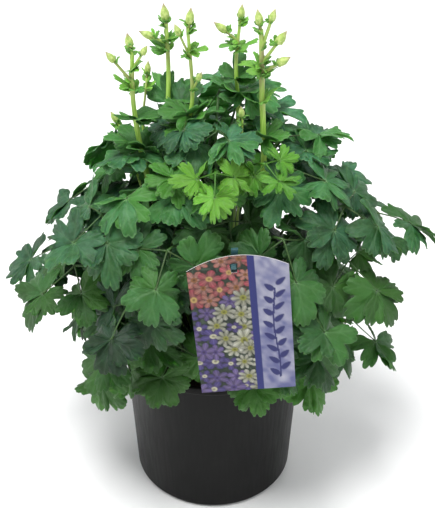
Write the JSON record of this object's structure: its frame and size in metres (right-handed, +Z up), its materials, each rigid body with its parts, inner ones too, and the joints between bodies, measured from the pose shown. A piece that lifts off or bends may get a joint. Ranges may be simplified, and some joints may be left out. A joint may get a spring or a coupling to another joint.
{
  "type": "potted columbine plant",
  "caption": "Columbine plant in a black nursery pot: a mound of lobed blue-green leaves, budded flowering stems above it, dark compost, and a picture label hung on a stake.",
  "frame": {"origin": "middle of the pot's foot, on the surface that the pot stands on", "axes": "+Z up out of the pot, -Y towards the front, where the label hangs, +X to the right as seen from the front"},
  "size_m": [0.4037, 0.3174, 0.5067],
  "materials": {
    "pot": "black recycled plastic with a satin sheen and fine vertical scuffs",
    "compost": "moist dark peat and bark crumbs",
    "leaf": "matte blue-green upper side with pale veins and a paler underside",
    "young_leaf": "satin yellow-green, with a fresher green towards the base",
    "stem": "pale green flushed with purple-brown, with fine lengthwise ribs",
    "label_card": "glossy printed plastic card with a white cut edge",
    "stake": "teal moulded plastic"
  },
  "bodies": {
    "root": {"pot": "pot", "compost": "compost", "label": "label_card", "label_stake": "stake", "flower_stem_1": "stem", "flower_stem_2": "stem", "flower_stem_3": "stem", "flower_stem_4": "stem", "flower_stem_5": "stem", "flower_stem_6": "stem", "flower_stem_7": "stem", "flower_stem_8": "stem", "young_leaf_1": "young_leaf", "young_leaf_2": "young_leaf", "top_leaf_1": "leaf", "top_leaf_2": "leaf", "crown_leaf_1": "leaf", "crown_leaf_2": "leaf", "crown_leaf_3": "leaf", "crown_leaf_4": "leaf", "crown_leaf_5": "leaf", "crown_leaf_6": "leaf", "crown_leaf_7": "leaf", "inner_leaf_1": "leaf", "inner_leaf_2": "leaf", "shoulder_leaf_1": "leaf", "shoulder_leaf_2": "leaf", "shoulder_leaf_3": "leaf", "shoulder_leaf_4": "leaf", "shoulder_leaf_5": "leaf", "shoulder_leaf_6": "leaf", "shoulder_leaf_7": "leaf", "shoulder_leaf_8": "leaf", "shoulder_leaf_9": "leaf", "skirt_leaf_1": "leaf", "skirt_leaf_2": "leaf", "skirt_leaf_3": "leaf", "skirt_leaf_4": "leaf", "skirt_leaf_5": "leaf", "skirt_leaf_6": "leaf", "skirt_leaf_7": "leaf", "skirt_leaf_8": "leaf", "skirt_leaf_9": "leaf", "skirt_leaf_10": "leaf", "under_leaf_1": "leaf", "under_leaf_2": "leaf", "under_leaf_3": "leaf", "under_leaf_4": "leaf", "under_leaf_5": "leaf", "under_leaf_6": "leaf", "under_leaf_7": "leaf", "under_leaf_8": "leaf", "rim_leaf_1": "leaf", "rim_leaf_2": "leaf", "rim_leaf_3": "leaf", "rim_leaf_4": "leaf", "rim_leaf_5": "leaf", "rim_leaf_6": "leaf", "rim_leaf_7": "leaf", "rim_leaf_8": "leaf"}
  },
  "joints": []
}
